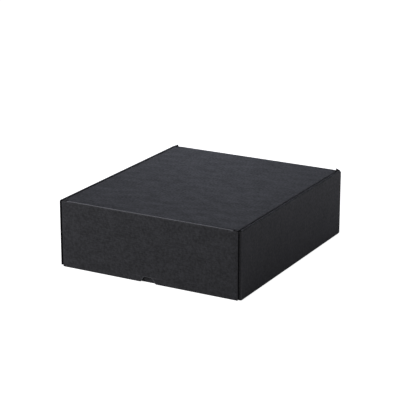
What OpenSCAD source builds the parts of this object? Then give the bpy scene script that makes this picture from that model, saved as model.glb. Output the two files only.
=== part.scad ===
// Gift box folded from one die-cut sheet of thin corrugated board.
// A tray with rolled-over double side walls, and a hinged lid whose full-height
// front flap hangs outside the front wall and is lifted by a thumb notch.
// Origin: middle of the footprint, on the surface that the box stands on.
// +X right, +Y towards the hinge at the back, +Z up.  The front faces -Y.

/* [Box] */
// Overall width, outside of one side wall to outside of the other
box_w = 300; // [200:1:400]
// Overall depth, outside of the front flap to outside of the back wall
box_d = 338; // [220:1:420]
// Height of the top of the closed lid
box_h = 103; // [70:1:160]

/* [Board] */
// Thickness of the corrugated board
board_t = 1.5; // [1.2:0.1:1.8]
// Thickness of each facing paper
liner_t = 0.25; // [0.2:0.05:0.3]
// Thickness of the wavy paper between the facings
medium_t = 0.2; // [0.15:0.05:0.25]
// Distance from one wave of the flutes to the next
flute_pitch = 3.2; // [2.8:0.1:4]
// Inside radius of a fold
bend_r = 0.4; // [0.2:0.1:0.6]
// Clearance between two layers folded against each other
layer_gap = 0.15; // [0.1:0.05:0.3]
// Clearance at the end of a panel that is folded into place
end_gap = 0.3; // [0.2:0.1:0.6]

/* [Tray] */
// Length of the corner flaps trapped inside the side walls
corner_flap_len = 70; // [40:1:90]
// Length of each lock tab under the inner side walls
tab_len = 32; // [20:1:45]
// Distance from the middle of a side wall to the middle of a lock tab
tab_pos = 95; // [45:1:100]
// Radius of the side walls' upper front corners
side_corner_r = 3.5; // [3:0.5:10]
// Cut-back of the inner side walls' lower corners
inner_corner_cut = 9; // [4:1:20]
// Rise of the ears that stand beside the ends of the lid hinge
ear_h = 2.4; // [1:0.1:4]
// Distance that the side walls' front edges stand ahead of the front wall
side_reach = 1.7; // [0:0.1:2]

/* [Lid] */
// Groove between the lid's edge and the rolled side wall
lid_side_gap = 1; // [0.6:0.1:2]
// Length of the lid's uncreased edge at each end of the hinge
hinge_end = 3.2; // [2.5:0.1:8]
// Distance that the lid's back corners are cut back from the back face
hinge_corner_cut = 7; // [6:0.5:12]
// Height of the flaps tucked down inside the side walls
lid_side_flap_h = 38; // [20:1:50]
// Distance from the box's front and back faces to the ends of those flaps
lid_side_flap_end = 11; // [9:1:30]
// Length by which those flaps' lower edge is shorter at each end
lid_side_flap_taper = 10; // [2:1:20]
// Radius of the lid's back corners
lid_corner_r = 3; // [1:0.5:6]
// Width of the relief cuts beside the ends of the front fold
relief_w = 2.5; // [1:0.5:3]
// Length of those relief cuts
relief_l = 3.5; // [2:0.5:6]

/* [Front flap] */
// Clearance between the hanging flap and the front wall
flap_gap = 1.5; // [0.5:0.1:3]
// Height of the flap's lower edge above the ground
flap_floor_gap = 0.6; // [0.3:0.1:3]
// Distance from the flap's upright edges to the side walls' outer faces
flap_side_gap = 4.5; // [2.5:0.1:6]
// Distance from the lid's side edges to the ends of the front fold
flap_fold_end = 7; // [5:0.5:12]
// Rise of the flap's shoulders beside the ends of the fold
shoulder_rise = 1.1; // [0.5:0.1:1.3]
// Radius of the flap's shoulders and of the lid's front corners
shoulder_r = 1.5; // [0.5:0.1:2]
// Radius of the flap's lower corners
flap_corner_r = 1; // [0.5:0.5:6]

/* [Thumb notch] */
// Width of the notch at the flap's lower edge
notch_w = 25; // [18:0.5:40]
// Width of the notch between its top corners
notch_top_w = 13.5; // [8:0.5:16]
// Height of the notch
notch_h = 8.5; // [5:0.5:14]
// Radius of the notch's top corners
notch_r = 3; // [1:0.5:4]
// Radius of the corners where the notch opens in the flap's lower edge
notch_lip_r = 1.5; // [0.5:0.1:2]

/* [Hidden] */
$fn = 48;

outer_paper = [0.22, 0.23, 0.25];
inner_paper = [0.17, 0.17, 0.18];
left = -1;
right = 1;
front = -1;
back = 1;

// A fold is a quarter ring: this is its outer radius, and the length that it
// takes from each of the two panels that it joins
fold_r = bend_r + board_t;
lap = board_t + layer_gap;

// Planes of the walls' outer faces
x_side = box_w / 2;
x_corner = x_side - lap;
x_inner = x_side - 2 * lap;
y_flap = -box_d / 2;
y_front = y_flap + board_t + flap_gap;
y_back = box_d / 2;

// The rolled top of a side wall holds three layers side by side
roll_w = 2 * lap + board_t;
side_y0 = y_front - side_reach;
side_y1 = y_back - end_gap;
roll_y0 = side_y0 + side_corner_r + 2 * end_gap;
roll_y1 = y_back - board_t - end_gap;

// The lid lies between the rolled walls, level with their tops
lid_x = x_side - roll_w - lid_side_gap;
lid_edge_x = lid_x - end_gap;
hinge_x = lid_x - hinge_end;
flap_fold_x = lid_x - flap_fold_end;
flap_x = x_side - flap_side_gap;
side_flap_y0 = y_flap + lid_side_flap_end;
side_flap_y1 = y_back - lid_side_flap_end;

// Heights
z_low = fold_r;
z_high = box_h - fold_r;

// ---------------------------------------------------------------- outlines

// Rectangle with true arcs at its corners.  The radii go round from the lower
// left corner: lower left, lower right, upper right, upper left
module card(x0, y0, x1, y1, r) {
    difference() {
        translate([x0, y0]) square([x1 - x0, y1 - y0]);
        translate([x0, y0]) corner_waste(r[0]);
        translate([x1, y0]) mirror([1, 0]) corner_waste(r[1]);
        translate([x1, y1]) mirror([0, 1]) mirror([1, 0]) corner_waste(r[2]);
        translate([x0, y1]) mirror([0, 1]) corner_waste(r[3]);
    }
}

// What a rounding cutter removes from a square corner at the origin
module corner_waste(r) {
    if (r > 0) difference() {
        translate([-1, -1]) square(r + 1);
        translate([r, r]) circle(r);
    }
}

// Points along an arc round c, from angle a0 to angle a1
function arc(c, r, a0, a1, steps = 8) =
    [for (i = [0 : steps]) let (a = a0 + (a1 - a0) * i / steps) c + r * [cos(a), sin(a)]];

// An outline that is given by its right half, from the bottom middle up to the
// top middle, and is the same on the left
function both_halves(pts) =
    concat(pts, [for (i = [len(pts) - 1 : -1 : 0]) [-pts[i].x, pts[i].y]]);

// Thumb notch: slanted sides, whose arcs meet the flap's lower edge and the
// notch's top without a kink
module thumb_notch() {
    run = (notch_w - notch_top_w) / 2;
    slant = atan2(run, notch_h);
    side = norm([run, notch_h]);
    lip_x = notch_w / 2 + notch_lip_r * (side - run) / notch_h;
    arc_z = notch_h - notch_r;
    arc_x = notch_w / 2 - run * arc_z / notch_h - notch_r * side / notch_h;
    polygon(both_halves(concat(
        [[lip_x, -1]],
        arc([lip_x, notch_lip_r], notch_lip_r, 270, 180 + slant),
        arc([arc_x, arc_z], notch_r, slant, 90)
    )));
}

// ------------------------------------------------------- corrugated section

// Cut section across the flutes, running along X with the board's thickness
// in Y: two facings, and between them a wavy medium.  Each hollow is bounded by
// one half wave of the medium and by the facing opposite to it.
module flute_section(len) {
    steps = 6;
    glue = 0.14;
    wave = (board_t - 2 * liner_t - medium_t) / 2;
    count = floor(len / flute_pitch - 0.5);
    start = (len - count * flute_pitch) / 2;
    function hollow_edge(u) = -wave * cos(360 * u) + medium_t / 2;
    difference() {
        square([len, board_t]);
        for (i = [0 : 2 * count - 2]) {
            facing = i % 2 == 0 ? 1 : -1;
            middle = start + (i + 1) * flute_pitch / 2;
            translate([middle, board_t / 2]) scale([1, facing]) polygon([
                for (k = [0 : steps])
                    let (u = (k / steps - 0.5) * (1 - 2 * glue))
                    [u * flute_pitch, hollow_edge(u)],
                [(0.5 - glue) * flute_pitch, board_t / 2 - liner_t],
                [(glue - 0.5) * flute_pitch, board_t / 2 - liner_t]
            ]);
        }
    }
}

// --------------------------------------------------------------- placement

// Board lying flat, its under side at height z
module lay(z) {
    translate([0, 0, z]) linear_extrude(board_t) children();
}

// Board standing across the box, outline in X and Z, its -Y face at y
module stand_across(y) {
    translate([0, y + board_t, 0]) rotate([90, 0, 0]) linear_extrude(board_t) children();
}

// Board standing along the right-hand side, outline in Y and Z, its outer face
// at x; side = left gives the mirrored panel on the other side
module stand_along(x, side) {
    mirror([side == left ? 1 : 0, 0, 0])
        translate([x - board_t, 0, 0]) rotate([90, 0, 90]) linear_extrude(board_t) children();
}

// Section of a fold: the quarter of a ring that lies towards (sx, sy)
module fold_section(sx, sy) {
    intersection() {
        difference() {
            circle(fold_r);
            circle(bend_r);
        }
        translate([min(sx, 0) * fold_r, min(sy, 0) * fold_r]) square(fold_r);
    }
}

// Folds along the three axes; (a, b) is the middle of the bend
module fold_across(a, b, x, sy, sz) {
    translate([-x, a, b]) rotate([90, 0, 90]) linear_extrude(2 * x) fold_section(sy, sz);
}

module fold_along(a, b, y0, y1, side, sz) {
    mirror([side == left ? 1 : 0, 0, 0])
        translate([a, y1, b]) rotate([90, 0, 0]) linear_extrude(y1 - y0) fold_section(1, sz);
}

module fold_upright(a, b, z0, z1, side, sy) {
    mirror([side == left ? 1 : 0, 0, 0])
        translate([a, b, z0]) linear_extrude(z1 - z0) fold_section(1, sy);
}

// -------------------------------------------------------------------- tray

module base_panel() {
    slot_w = board_t + 2 * layer_gap;
    slot_len = tab_len + 2 * end_gap;
    color(inner_paper) lay(0) difference() {
        translate([-x_side + fold_r, y_front + fold_r])
            square([2 * (x_side - fold_r), y_back - y_front - 2 * fold_r]);
        for (sx = [left, right], sy = [front, back])
            translate([sx * (x_inner - board_t / 2), sy * tab_pos])
                square([slot_w, slot_len], center = true);
    }
}

module front_wall() {
    color(inner_paper) stand_across(y_front)
        translate([-x_corner + fold_r, z_low])
            square([2 * (x_corner - fold_r), box_h - board_t - end_gap - z_low]);
}

// The back wall ends in two ears: where the lid's fold stops, the cut runs past
// the fold line, so the board there stays upright and stands above the lid
module back_wall() {
    wall_x = x_corner - fold_r;
    slit_z = z_high - 2 * end_gap;
    ear_in = hinge_x + end_gap;
    ear_out = x_corner - end_gap;
    ear_z = box_h + ear_h;
    ear_nose = 0.5;
    right_half = [
        [wall_x, z_low], [wall_x, z_high], [ear_out, z_high],
        [ear_out, box_h - ear_nose], [ear_out - ear_nose, box_h],
        [ear_in + 3 * ear_nose, ear_z - ear_nose / 2], [ear_in + ear_nose, ear_z],
        [ear_in, ear_z - ear_nose], [ear_in, slit_z],
        [hinge_x, slit_z], [hinge_x, z_high]
    ];
    color(outer_paper) stand_across(y_back - board_t) polygon(both_halves(right_half));
}

// Outer side wall.  Its upper front corner stands free of the roll and is round
module side_wall(side) {
    color(outer_paper) stand_along(x_side, side) {
        translate([side_y0 + side_corner_r, z_low])
            square([side_y1 - side_y0 - side_corner_r, z_high - z_low]);
        card(side_y0, z_low, roll_y0 - end_gap, box_h - end_gap, [0, 0, 0, side_corner_r]);
    }
}

module side_wall_left() { side_wall(left); }
module side_wall_right() { side_wall(right); }

// Rolled top of a side wall: two folds with a narrow strip between them
module side_roll(side) {
    color(outer_paper)
        mirror([side == left ? 1 : 0, 0, 0])
            translate([0, roll_y1, 0]) rotate([90, 0, 0]) linear_extrude(roll_y1 - roll_y0) {
                translate([x_side - fold_r, z_high]) fold_section(1, 1);
                translate([x_side - roll_w + fold_r, z_high]) fold_section(-1, 1);
                translate([x_side - roll_w + fold_r, box_h - board_t])
                    square([roll_w - 2 * fold_r, board_t]);
            }
}

module side_roll_left() { side_roll(left); }
module side_roll_right() { side_roll(right); }

// Inner side wall, held down by lock tabs in the base's slots
module inner_wall(side) {
    y0 = y_front + board_t + end_gap;
    y1 = y_back - board_t - end_gap;
    z0 = board_t;
    top_cut = max(roll_y0 - y0, 0) + end_gap;
    color(inner_paper) stand_along(x_inner, side) {
        polygon([
            [y0, z0 + inner_corner_cut], [y0 + inner_corner_cut / 2, z0],
            [y1 - inner_corner_cut / 2, z0], [y1, z0 + inner_corner_cut],
            [y1, z_high], [y0 + top_cut, z_high], [y0, z_high - top_cut]
        ]);
        for (sy = [front, back])
            translate([sy * tab_pos, z0 - (board_t - end_gap) / 2 + 0.1])
                square([tab_len, board_t - end_gap + 0.2], center = true);
    }
}

module inner_wall_left() { inner_wall(left); }
module inner_wall_right() { inner_wall(right); }

// Corner flap: starts at the fold beside the front or back wall, and its free
// end is tapered so that it slides in between the two layers of the side wall
module corner_flap(side, end) {
    y0 = end == front ? y_front + fold_r : -(y_back - fold_r);
    taper = corner_flap_len / 4;
    z0 = z_low + end_gap;
    z1 = z_high - end_gap;
    color(outer_paper) stand_along(x_corner, side) scale([end == front ? 1 : -1, 1])
        polygon([
            [y0, z0], [y0 + corner_flap_len - taper, z0],
            [y0 + corner_flap_len, z0 + taper], [y0 + corner_flap_len, z1 - taper / 2],
            [y0 + corner_flap_len - taper / 2, z1], [y0, z1]
        ]);
}

module corner_flap_front_left() { corner_flap(left, front); }
module corner_flap_front_right() { corner_flap(right, front); }
module corner_flap_back_left() { corner_flap(left, back); }
module corner_flap_back_right() { corner_flap(right, back); }

module base_fold_front() {
    color(outer_paper) fold_across(y_front + fold_r, fold_r, x_corner - fold_r, -1, -1);
}

module base_fold_back() {
    color(outer_paper) fold_across(y_back - fold_r, fold_r, x_corner - fold_r, 1, -1);
}

module base_fold(side) {
    color(outer_paper)
        fold_along(x_side - fold_r, fold_r, y_front + fold_r, y_back - fold_r, side, -1);
}

module base_fold_left() { base_fold(left); }
module base_fold_right() { base_fold(right); }

module corner_fold(side, end) {
    color(outer_paper)
        fold_upright(x_corner - fold_r, end == front ? y_front + fold_r : y_back - fold_r,
            z_low + end_gap, z_high - end_gap, side, end == front ? -1 : 1);
}

module corner_fold_front_left() { corner_fold(left, front); }
module corner_fold_front_right() { corner_fold(right, front); }
module corner_fold_back_left() { corner_fold(left, back); }
module corner_fold_back_right() { corner_fold(right, back); }

// --------------------------------------------------------------------- lid

// Lid: creased along its four sides, with plain cut edges where the creases
// stop.  Relief cuts free the ends of the front fold
module lid_panel() {
    front_y = y_flap + fold_r;
    back_y = y_back - hinge_corner_cut;
    front_end = side_flap_y0 - end_gap;
    back_end = side_flap_y1 + end_gap;
    color(outer_paper) lay(box_h - board_t) difference() {
        union() {
            translate([-lid_x + fold_r, front_end - 1])
                square([2 * (lid_x - fold_r), back_end - front_end + 2]);
            card(-lid_edge_x, front_y, lid_edge_x, front_end, [shoulder_r, shoulder_r, 0, 0]);
            card(-lid_edge_x, back_end, lid_edge_x, back_y, [0, 0, lid_corner_r, lid_corner_r]);
            translate([-hinge_x, 0]) square([2 * hinge_x, y_back - fold_r]);
        }
        for (side = [left, right])
            translate([side * (flap_fold_x + relief_w / 2), front_y])
                square([relief_w, 2 * relief_l], center = true);
    }
}

module lid_hinge_fold() {
    color(outer_paper) fold_across(y_back - fold_r, z_high, hinge_x, 1, 1);
}

module lid_side_fold(side) {
    color(outer_paper)
        fold_along(lid_x - fold_r, z_high, side_flap_y0, side_flap_y1, side, 1);
}

module lid_side_fold_left() { lid_side_fold(left); }
module lid_side_fold_right() { lid_side_fold(right); }

module lid_side_flap(side) {
    z0 = z_high - lid_side_flap_h;
    nip = lid_side_flap_taper / 2;
    color(inner_paper) stand_along(lid_x, side)
        polygon([
            [side_flap_y0 + lid_side_flap_taper + nip, z0],
            [side_flap_y1 - lid_side_flap_taper - nip, z0],
            [side_flap_y1 - lid_side_flap_taper, z0 + nip], [side_flap_y1, z_high],
            [side_flap_y0, z_high], [side_flap_y0 + lid_side_flap_taper, z0 + nip]
        ]);
}

module lid_side_flap_left() { lid_side_flap(left); }
module lid_side_flap_right() { lid_side_flap(right); }

// -------------------------------------------------------------- front flap

module front_flap_fold() {
    color(outer_paper) fold_across(y_flap + fold_r, z_high, flap_fold_x, -1, 1);
}

// The flutes run across the flap, so their open ends show along its upright
// edges.  Outline: shoulders that stand up beside the fold, and the thumb notch
module front_flap() {
    flap_h = z_high - flap_floor_gap;
    fold_end = flap_fold_x + end_gap;
    color(outer_paper) intersection() {
        translate([-flap_x, y_flap + board_t, flap_floor_gap])
            rotate([90, 0, 90]) linear_extrude(2 * flap_x) rotate(90) {
                flute_section(flap_h);
                translate([flap_h - end_gap, 0]) square([shoulder_rise + end_gap, board_t]);
            }
        stand_across(y_flap) difference() {
            card(-flap_x, flap_floor_gap, flap_x, z_high + shoulder_rise,
                [flap_corner_r, flap_corner_r, shoulder_r, shoulder_r]);
            translate([-fold_end, z_high]) square([2 * fold_end, shoulder_rise + 1]);
            translate([0, flap_floor_gap]) thumb_notch();
        }
    }
}

// ------------------------------------------------------------------- build

base_panel();
front_wall();
back_wall();
side_wall_left();
side_wall_right();
side_roll_left();
side_roll_right();
inner_wall_left();
inner_wall_right();
corner_flap_front_left();
corner_flap_front_right();
corner_flap_back_left();
corner_flap_back_right();
base_fold_front();
base_fold_back();
base_fold_left();
base_fold_right();
corner_fold_front_left();
corner_fold_front_right();
corner_fold_back_left();
corner_fold_back_right();
lid_panel();
lid_hinge_fold();
lid_side_fold_left();
lid_side_fold_right();
lid_side_flap_left();
lid_side_flap_right();
front_flap_fold();
front_flap();
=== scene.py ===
"""Looks of a hinged-lid gift box folded from one sheet of black corrugated board.

Each panel is built the way the board is made: an outer liner, a waved medium and
an inner liner, cut to the panel's outline, so that its cut edges show real flutes.
Each crease is the same three papers carried round a bend.  All sizes are metres.
"""

import logging
import math
from dataclasses import dataclass
from enum import Enum
from functools import reduce
from typing import Callable, Optional, Sequence

import bpy
import numpy as np
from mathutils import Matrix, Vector


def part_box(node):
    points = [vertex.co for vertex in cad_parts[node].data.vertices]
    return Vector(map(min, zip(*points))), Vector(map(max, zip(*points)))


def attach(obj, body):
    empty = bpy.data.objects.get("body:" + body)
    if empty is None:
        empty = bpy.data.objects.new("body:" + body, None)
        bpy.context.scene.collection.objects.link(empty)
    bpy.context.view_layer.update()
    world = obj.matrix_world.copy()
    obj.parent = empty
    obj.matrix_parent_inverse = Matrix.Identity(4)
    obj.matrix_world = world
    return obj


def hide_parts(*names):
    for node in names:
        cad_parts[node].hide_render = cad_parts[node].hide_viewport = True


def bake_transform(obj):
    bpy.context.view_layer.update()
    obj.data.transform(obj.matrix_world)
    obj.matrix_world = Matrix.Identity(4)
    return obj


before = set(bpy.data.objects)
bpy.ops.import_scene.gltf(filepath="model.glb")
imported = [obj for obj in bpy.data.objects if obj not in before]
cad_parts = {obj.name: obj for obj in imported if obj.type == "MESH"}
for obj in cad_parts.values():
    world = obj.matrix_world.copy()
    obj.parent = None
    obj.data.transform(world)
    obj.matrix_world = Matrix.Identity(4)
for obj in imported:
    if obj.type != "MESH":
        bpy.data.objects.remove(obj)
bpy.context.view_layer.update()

MM = 0.001
JUMP = 2e-6  # a sudden step in an outline is drawn out over this length
FAR = 1.0  # stands for the distance to an edge where there is none
TINY = 1e-18  # least square of a segment's length, so that nothing is divided by zero
SHARP_ANGLE = 40  # degrees, past which an edge of a mesh is shaded sharp
log = logging.getLogger("gift_box")

Array = np.ndarray
Point = tuple[float, float, float]
Socket = bpy.types.NodeSocket
Blend = tuple[str, str, Vector, Vector]  # the two bodies, and the start and end of the bend
Strips = tuple[list, list]  # lines along the flutes, and whether the board between two is there


class Axis(Enum):
    """Axes of the box: X to the right, Y towards the hinge, Z up."""

    X = 0
    Y = 1
    Z = 2


X, Y, Z = Axis


class Way(Enum):
    """One of the two directions along an axis, by its sign."""

    @property
    def label(self) -> str:
        """The direction as the names of nodes have it."""
        return self.name.lower()

    def outer(self, low: float, high: float) -> float:
        """The end of a range that lies this way."""
        return high if self.value > 0 else low

    def inner(self, low: float, high: float) -> float:
        """The end of a range that lies the other way."""
        return low if self.value > 0 else high


class Side(Way):
    """The two sides of the box, along X."""

    LEFT = -1
    RIGHT = 1


class End(Way):
    """The two ends of the box, along Y."""

    FRONT = -1
    BACK = 1


# ------------------------------------------------------------------ the board


@dataclass(frozen=True)
class Board:
    """Make-up of the corrugated board, and the steps of its mesh."""

    thickness: float = 1.5 * MM
    liner: float = 0.25 * MM
    medium: float = 0.2 * MM
    pitch: float = 3.2 * MM
    bend_radius: float = 0.4 * MM
    telegraph: float = 0.022 * MM  # sag of the liners between the flutes
    crease_dent: float = 2.2  # how many times more the outer liner sags on a crease
    crease_press: float = 0.5  # how far the flutes are pressed flat on a crease
    crush: float = 0.24 * MM  # how far each liner is pushed in at a cut edge
    crush_reach: float = 0.9 * MM
    medium_crush: float = 1.1  # how far the medium gives way to a crushed liner
    medium_gap: float = 0.02 * MM
    # the painted highlight along the notch's rim: how far it reaches and how strong it is
    notch_highlight_reach: float = 2.2 * MM
    notch_highlight_strength: float = 1.6
    edge_strip: float = 0.45 * MM  # width of the mesh's outermost strip
    edge_row: float = 0.3 * MM  # depth of the mesh's outermost row
    liner_rows: int = 6  # rows of the mesh for each flute
    medium_rows: int = 10

    @property
    def fold_radius(self) -> float:
        """Outer radius of a fold."""
        return self.bend_radius + self.thickness

    @property
    def wave(self) -> float:
        """Half the height of the medium's wave, at the middle of its paper."""
        return (self.thickness - 2 * self.liner - self.medium) / 2


@dataclass(frozen=True)
class FlatPlace:
    """A flat panel: the axes along, across and out of it, and the plane of its outer face."""

    axes: tuple[Axis, Axis, Axis]
    facing: int
    face: float

    def place(self, along: Array, across: Array, depth: Array) -> Array:
        """Point = along and across on their own axes, and the face less the depth.

        Args:
            along: positions along the flutes.
            across: positions across the flutes.
            depth: depths below the outer face.

        Returns:
            The points, with a last axis of three.
        """
        points = np.empty(np.shape(along) + (3,))
        for axis, values in zip(self.axes, (along, across, self.face - self.facing * depth)):
            points[..., axis.value] = values
        return points


@dataclass(frozen=True)
class Turn:
    """A quarter turn: its centre in the bend's plane, and its two angles in degrees."""

    p: float
    q: float
    start: float
    end: float


@dataclass(frozen=True)
class BendPlace:
    """Board carried round one or two quarter turns, with a flat strip between two.

    The bend lies in the plane of its two other axes, p and q.
    """

    axis: Axis
    turns: Sequence[Turn]
    radius: float
    squareness: float

    @property
    def flutes_go_round(self) -> bool:
        """Whether the flutes run round the bend: they run along those that lie along X."""
        return self.axis is not X

    @property
    def length(self) -> float:
        """Length of the bend along its outer face."""
        total = sum(self.radius * math.radians(abs(t.end - t.start)) for t in self.turns)
        for a, b in zip(self.turns, self.turns[1:]):
            total += math.hypot(b.p - a.p, b.q - a.q)
        return total

    def place(self, along: Array, across: Array, depth: Array) -> Array:
        """Point = turn's centre + (radius - depth) * swell * (cos, sin) of the angle reached.

        The way round is measured on the outer face: it runs through each turn's arc,
        then straight to the next turn's centre line.  The swell draws the arc out into
        its corner, as a pressed crease is: (|cos|^n + |sin|^n)^(-1/n), with n the
        squareness, which is 1 at both ends of a quarter turn and for n = 2.

        Args:
            along: positions along the flutes.
            across: positions across the flutes.
            depth: depths below the outer face.

        Returns:
            The points, with a last axis of three.
        """
        way, axial = (along, across) if self.flutes_go_round else (across, along)
        p, q = self.turns[0].p, self.turns[0].q
        angle = math.radians(self.turns[0].start)
        begun = 0.0
        for turn, after in zip(self.turns, (*self.turns[1:], None)):
            sweep = math.radians(turn.end - turn.start)
            arc = self.radius * abs(sweep)
            angle = angle + sweep * np.clip((way - begun) / arc, 0, 1)
            begun += arc
            if after is not None:
                gap = math.hypot(after.p - turn.p, after.q - turn.q)
                share = np.clip((way - begun) / gap, 0, 1)
                p = p + share * (after.p - turn.p)
                q = q + share * (after.q - turn.q)
                begun += gap
        square = np.abs(np.cos(angle)) ** self.squareness + np.abs(np.sin(angle)) ** self.squareness
        reach = (self.radius - depth) * square ** (-1 / self.squareness)
        p_axis, q_axis = (axis.value for axis in Axis if axis is not self.axis)
        points = np.empty(np.shape(way) + (3,))
        points[..., self.axis.value] = axial
        points[..., p_axis] = p + reach * np.cos(angle)
        points[..., q_axis] = q + reach * np.sin(angle)
        return points


# ---------------------------------------------------------------- cut shapes


@dataclass
class Cut:
    """Outline of a panel, as strips between lines that run across the flutes.

    Args:
        breaks: rows, across the flutes, where the outline changes.
        strips: for an array of rows, the place of each line along the flutes, and for
            each strip between two lines whether the board is there.
        edges: free cut edges as polylines of (along, across) points.
        highlighted: the notch's edges, paled over a broader strip: a painted highlight of the crushed rim
            catching light.
    """

    breaks: Sequence[float]
    strips: Callable[[Array], Strips]
    edges: Sequence[Array]
    highlighted: Sequence[Array] = ()


def straight(places: Sequence[float]) -> Callable[[Array], Strips]:
    """Strips between straight lines, with the board there in each."""
    return lambda rows: (list(places), [True] * (len(places) - 1))


def mirrored(half: Callable[[Array], Strips]) -> Callable[[Array], Strips]:
    """Strips of a whole panel from its right half.

    Args:
        half: strips of the right half, which begin with the middle one.

    Returns:
        The strips of both halves.
    """

    def whole(rows: Array) -> Strips:
        """The half turned round, and then as it is."""
        lines, kept = half(rows)
        return [-line for line in lines[::-1]] + lines, kept[:0:-1] + kept

    return whole


def both(edges: list[Array]) -> list[Array]:
    """Returns edges of the right half and of the left."""
    return edges + [edge * (-1, 1) for edge in edges]


def stacked(values: list, rows: Array) -> Array:
    """Stacks numbers and arrays, each of them spread over all the rows."""
    return np.stack([np.broadcast_to(value, rows.shape) for value in values])


def traced(line: Callable[[Array], Array], rows: Array) -> Array:
    """Points (along, across) of a line at each row."""
    return np.stack([line(rows), rows], axis=1)


def arc_rows(end: float, radius: float, inward: int, steps: int = 8) -> Array:
    """Rows that sample a round corner evenly by angle: end + inward * r * (1 - cos a)."""
    angles = np.linspace(0, math.pi / 2, steps + 1)
    return np.sort(end + inward * radius * (1 - np.cos(angles)))


def corner(rows: Array, end: float, radius: float, inward: int) -> Array:
    """How far a round corner draws the edge in: r - sqrt(r^2 - (r - distance to the end)^2)."""
    gone = np.clip(radius - inward * (rows - end), 0, radius)
    return radius - np.sqrt(radius**2 - gone**2)


def between(rows: Array, low: float, high: float) -> Array:
    """Returns a mask of the rows between two limits."""
    return (rows > low) & (rows < high)


def edge_distance(points: Array, edges: Sequence[Array]) -> Array:
    """Distance of each point to the nearest segment of the given polylines.

    Args:
        points: an (n, 2) array.
        edges: polylines, each an (m, 2) array.

    Returns:
        An array of n distances, large where there are no edges.
    """
    nearest = np.full(len(points), FAR)
    for line in edges:
        start, run = line[:-1], np.diff(line, axis=0)
        share = ((points[:, None, :] - start) * run).sum(2) / np.maximum((run**2).sum(1), TINY)
        foot = start + np.clip(share, 0, 1)[..., None] * run
        nearest = np.minimum(nearest, np.linalg.norm(points[:, None, :] - foot, axis=2).min(1))
    return nearest


# -------------------------------------------------------------------- meshes


def sheet_faces(kept: Array) -> tuple[Array, Array]:
    """Quads of a thin closed sheet on a grid of lines by rows.

    The front layer's vertices come first, then the back layer's, each numbered line
    by line.  A cell that is kept gives a front and a back quad, and each side of it
    that borders on nothing gives a quad across the thickness.

    Args:
        kept: a (lines - 1, rows - 1) mask of the cells that are there.

    Returns:
        An (n, 4) array of vertex numbers, and for each quad its kind: 0 for the front
        layer, 1 for the back layer and 2 for the cut edge.
    """
    lines, rows = kept.shape[0] + 1, kept.shape[1] + 1
    front = np.arange(lines * rows).reshape(lines, rows)
    back = front + lines * rows
    full = np.zeros((lines + 1, rows + 1), bool)
    full[1:-1, 1:-1] = kept
    low, high, every = slice(None, -1), slice(1, None), slice(None)
    corners = [(low, low), (high, low), (high, high), (low, high)]
    lower, upper, earlier, later = (low, every), (high, every), (every, low), (every, high)

    def rim(here: Array, beside: Array, first: tuple, last: tuple) -> Array:
        """Quads from the front layer to the back, where there is a cell here and none beside."""
        ring = (front[first], front[last], back[last], back[first])
        return np.stack([numbers[here & ~beside] for numbers in ring], axis=1)

    faces = [np.stack([front[c][kept] for c in corners], axis=1),
             np.stack([back[c][kept] for c in corners[::-1]], axis=1)]
    below, above = full[1:-1, low], full[1:-1, high]
    faces += [rim(above, below, upper, lower), rim(below, above, lower, upper)]
    before, after = full[low, 1:-1], full[high, 1:-1]
    faces += [rim(after, before, earlier, later), rim(before, after, later, earlier)]
    kinds = np.repeat([0, 1, 2, 2, 2, 2], [len(f) for f in faces])
    return np.concatenate(faces), kinds


def signed_volume(points: Array, quads: Array) -> float:
    """Six times the volume that the quads enclose: the sum of corner triple products."""
    a, b, c, d = (points[quads[:, k]] for k in range(4))
    return float((a * (np.cross(b, c) + np.cross(c, d))).sum())


def add_object(name: str, data: bpy.types.ID) -> bpy.types.Object:
    """Makes an object and puts it into the scene.

    Args:
        name: the object's name.
        data: its mesh, lamp or camera.

    Returns:
        The object.
    """
    obj = bpy.data.objects.new(name, data)
    bpy.context.scene.collection.objects.link(obj)
    return obj


@dataclass
class Ply:
    """One paper of the board as a closed sheet, with the values of its vertices and faces."""

    points: Array
    quads: Array
    flat: Array
    edge: Array
    crease: Array
    slots: Array


class Paper(Enum):
    """The board's three papers, by their place among a piece's materials."""

    OUTER = 0
    MEDIUM = 1
    INNER = 2


class Skin(Enum):
    """State of the outer paper: on a panel, on a roll with painted shade, or on a double wall."""

    PANEL = 0
    ROLLED = 1
    PRESSED = 2


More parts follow.
